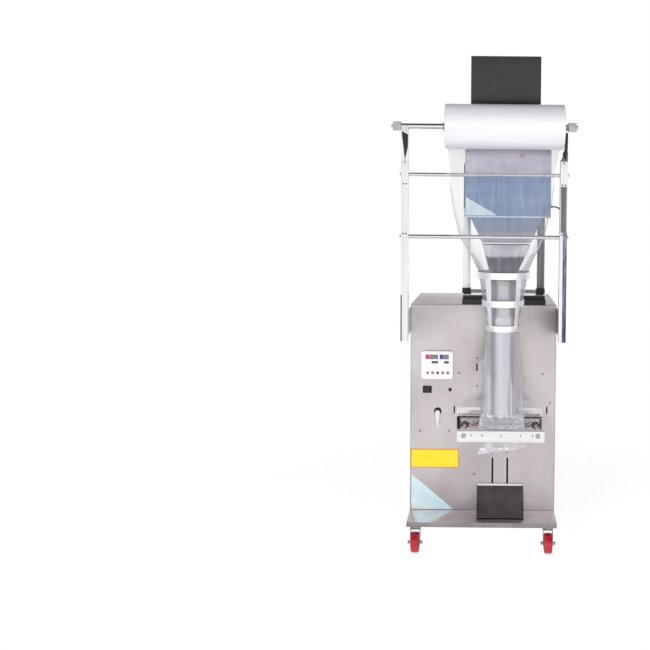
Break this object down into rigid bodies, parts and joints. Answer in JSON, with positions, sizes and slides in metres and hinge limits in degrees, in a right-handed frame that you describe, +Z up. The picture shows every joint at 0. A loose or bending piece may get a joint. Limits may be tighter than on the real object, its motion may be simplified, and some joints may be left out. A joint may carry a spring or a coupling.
{
  "type": "vertical form fill sealer",
  "caption": "Upright packing machine on casters: film roll on two arms, ring former and tube, sealing jaws, stainless cabinet, weigher and hopper on top.",
  "frame": {"origin": "on the floor, below the middle of the machine's overall box without its free cables", "axes": "+Z up, -Y towards the operator in front, +X to the right as seen from the front"},
  "size_m": [0.666, 0.735, 1.85],
  "materials": {
    "stainless": "brushed stainless steel sheet",
    "aluminium": "satin aluminium",
    "chrome": "polished",
    "zinc": "bright zinc plate",
    "dark_sheet": "dark mirror-finish sheet",
    "blue_panel": "satin blue paint on sheet steel",
    "black_plastic": "moulded, satin",
    "white_plastic": "moulded, semi-gloss",
    "red_wheel": "cast red polyurethane",
    "button": "moulded keys",
    "film": "clear film",
    "film_roll": "wound clear film",
    "cable": "black flexible cable"
  },
  "bodies": {
    "frame": {"base_plate": "stainless", "cabinet_shell": "stainless", "front_panel": "stainless", "control_panel": "white_plastic", "rocker_frame": "black_plastic", "fuse_holder": "black_plastic", "latch_base": "black_plastic", "forming_tube": "chrome", "former_cage": "aluminium", "cage_ring_upper": "aluminium", "cage_ring_lower": "aluminium", "former_bracket": "zinc", "infeed_funnel": "stainless", "film_web": "film", "film_tube": "film", "arm_left": "aluminium", "arm_right": "aluminium", "wedge_left": "black_plastic", "wedge_right": "black_plastic", "weigher_stand": "stainless", "weigher_body": "blue_panel", "hopper": "dark_sheet", "feed_tray": "zinc", "weigh_bucket": "stainless", "pull_motor": "zinc", "jaw_motor": "zinc", "weigher_cable_power": "cable", "weigher_cable_signal": "cable"},
    "rear_door": {"rear_door": "stainless"},
    "rocker": {"rocker_switch": "black_plastic"},
    "latch": {"latch_lever": "chrome"},
    "button_1": {"panel_button_1": "button"},
    "button_2": {"panel_button_2": "button"},
    "button_3": {"panel_button_3": "button"},
    "button_4": {"panel_button_4": "button"},
    "button_5": {"panel_button_5": "button"},
    "film_supply": {"film_roll": "film_roll", "film_spindle": "chrome", "roll_clamp_left": "black_plastic", "roll_clamp_right": "black_plastic"},
    "upper_roller": {"guide_roller_upper": "chrome"},
    "lower_roller": {"guide_roller_lower": "chrome"},
    "front_jaw_carriage": {"front_jaw": "aluminium", "jaw_yoke": "zinc"},
    "rear_jaw_carriage": {"rear_jaw": "zinc"},
    "jaw_pinion": {"jaw_pinion": "zinc"},
    "left_seal_bar": {"seal_bar_left": "aluminium"},
    "right_seal_bar": {"seal_bar_right": "aluminium"},
    "left_pull_roller": {"pull_roller_left": "black_plastic"},
    "right_pull_roller": {"pull_roller_right": "black_plastic"},
    "chute": {"discharge_chute": "dark_sheet"},
    "bucket_flap": {"bucket_flap": "zinc"},
    "front_left_swivel": {"caster_front_left_fork": "zinc"},
    "front_left_wheel": {"caster_front_left_wheel": "red_wheel"},
    "front_right_swivel": {"caster_front_right_fork": "zinc"},
    "front_right_wheel": {"caster_front_right_wheel": "red_wheel"},
    "rear_left_swivel": {"caster_rear_left_fork": "zinc"},
    "rear_left_wheel": {"caster_rear_left_wheel": "red_wheel"},
    "rear_right_swivel": {"caster_rear_right_fork": "zinc"},
    "rear_right_wheel": {"caster_rear_right_wheel": "red_wheel"}
  },
  "joints": [
    {"name": "rear_door_hinge", "type": "hinge", "parent": "frame", "child": "rear_door", "pos_m": [-0.2775, 0.3615, 0.54], "axis": [0, 0, 1], "range_deg": [0, 110]},
    {"name": "rocker_tilt", "type": "hinge", "parent": "frame", "child": "rocker", "pos_m": [-0.215, -0.088, 0.5935], "axis": [0, 0, 1], "range_deg": [0, 16]},
    {"name": "latch_turn", "type": "hinge", "parent": "frame", "child": "latch", "pos_m": [-0.174, -0.1015, 0.509], "axis": [0, 1, 0], "range_deg": [0, 90]},
    {"name": "button_1_press", "type": "slide", "parent": "frame", "child": "button_1", "axis": [0, 1, 0], "range_m": [0, 0.0015], "stiffness_N_per_m": 300},
    {"name": "button_2_press", "type": "slide", "parent": "frame", "child": "button_2", "axis": [0, 1, 0], "range_m": [0, 0.0015], "stiffness_N_per_m": 300},
    {"name": "button_3_press", "type": "slide", "parent": "frame", "child": "button_3", "axis": [0, 1, 0], "range_m": [0, 0.0015], "stiffness_N_per_m": 300},
    {"name": "button_4_press", "type": "slide", "parent": "frame", "child": "button_4", "axis": [0, 1, 0], "range_m": [0, 0.0015], "stiffness_N_per_m": 300},
    {"name": "button_5_press", "type": "slide", "parent": "frame", "child": "button_5", "axis": [0, 1, 0], "range_m": [0, 0.0015], "stiffness_N_per_m": 300},
    {"name": "film_supply_spin", "type": "hinge", "parent": "frame", "child": "film_supply", "pos_m": [0, -0.2875, 1.581], "axis": [1, 0, 0], "continuous": true},
    {"name": "upper_roller_spin", "type": "hinge", "parent": "frame", "child": "upper_roller", "pos_m": [0, -0.2875, 1.41], "axis": [1, 0, 0], "continuous": true},
    {"name": "lower_roller_spin", "type": "hinge", "parent": "frame", "child": "lower_roller", "pos_m": [0, -0.2905, 1.189], "axis": [1, 0, 0], "continuous": true},
    {"name": "front_jaw_slide", "type": "slide", "parent": "frame", "child": "front_jaw_carriage", "axis": [0, 1, 0], "range_m": [0, 0.066]},
    {"name": "rear_jaw_slide", "type": "slide", "parent": "frame", "child": "rear_jaw_carriage", "axis": [0, 1, 0], "range_m": [-0.066, 0]},
    {"name": "jaw_pinion_turn", "type": "hinge", "parent": "frame", "child": "jaw_pinion", "pos_m": [0.072, 0.0175, 0.4655], "axis": [0, 0, 1], "range_deg": [0, 237]},
    {"name": "left_seal_slide", "type": "slide", "parent": "frame", "child": "left_seal_bar", "axis": [1, 0, 0], "range_m": [0, 0.009]},
    {"name": "right_seal_slide", "type": "slide", "parent": "frame", "child": "right_seal_bar", "axis": [1, 0, 0], "range_m": [-0.009, 0]},
    {"name": "left_pull_spin", "type": "hinge", "parent": "frame", "child": "left_pull_roller", "pos_m": [0.056, -0.0875, 0.575], "axis": [0, 1, 0], "continuous": true},
    {"name": "right_pull_spin", "type": "hinge", "parent": "frame", "child": "right_pull_roller", "pos_m": [0.088, -0.0875, 0.575], "axis": [0, 1, 0], "continuous": true},
    {"name": "chute_height", "type": "slide", "parent": "frame", "child": "chute", "axis": [0, 0, 1], "range_m": [0, 0.115]},
    {"name": "flap_drop", "type": "hinge", "parent": "frame", "child": "bucket_flap", "pos_m": [0.075, -0.1265, 1.2965], "axis": [1, 0, 0], "range_deg": [0, 70], "stiffness_Nm_per_rad": 0.1, "springref_deg": -85.94},
    {"name": "front_left_swivel_turn", "type": "hinge", "parent": "frame", "child": "front_left_swivel", "pos_m": [-0.2495, -0.1715, 0.09], "axis": [0, 0, 1], "continuous": true},
    {"name": "front_left_wheel_roll", "type": "hinge", "parent": "front_left_swivel", "child": "front_left_wheel", "pos_m": [-0.2495, -0.1935, 0.0375], "axis": [1, 0, 0], "continuous": true},
    {"name": "front_right_swivel_turn", "type": "hinge", "parent": "frame", "child": "front_right_swivel", "pos_m": [0.2495, -0.1715, 0.09], "axis": [0, 0, 1], "continuous": true},
    {"name": "front_right_wheel_roll", "type": "hinge", "parent": "front_right_swivel", "child": "front_right_wheel", "pos_m": [0.2495, -0.1935, 0.0375], "axis": [1, 0, 0], "continuous": true},
    {"name": "rear_left_swivel_turn", "type": "hinge", "parent": "frame", "child": "rear_left_swivel", "pos_m": [-0.2495, 0.3075, 0.09], "axis": [0, 0, 1], "continuous": true},
    {"name": "rear_left_wheel_roll", "type": "hinge", "parent": "rear_left_swivel", "child": "rear_left_wheel", "pos_m": [-0.2495, 0.3295, 0.0375], "axis": [1, 0, 0], "continuous": true},
    {"name": "rear_right_swivel_turn", "type": "hinge", "parent": "frame", "child": "rear_right_swivel", "pos_m": [0.2495, 0.3075, 0.09], "axis": [0, 0, 1], "continuous": true},
    {"name": "rear_right_wheel_roll", "type": "hinge", "parent": "rear_right_swivel", "child": "rear_right_wheel", "pos_m": [0.2495, 0.3295, 0.0375], "axis": [1, 0, 0], "continuous": true}
  ],
  "couplings": [
    {"joint": "rear_jaw_slide", "follows": "front_jaw_slide", "ratio": -1},
    {"joint": "jaw_pinion_turn", "follows": "front_jaw_slide", "rad_per_m": 62.5},
    {"joint": "right_seal_slide", "follows": "left_seal_slide", "ratio": -1},
    {"joint": "right_pull_spin", "follows": "left_pull_spin", "ratio": -1}
  ]
}
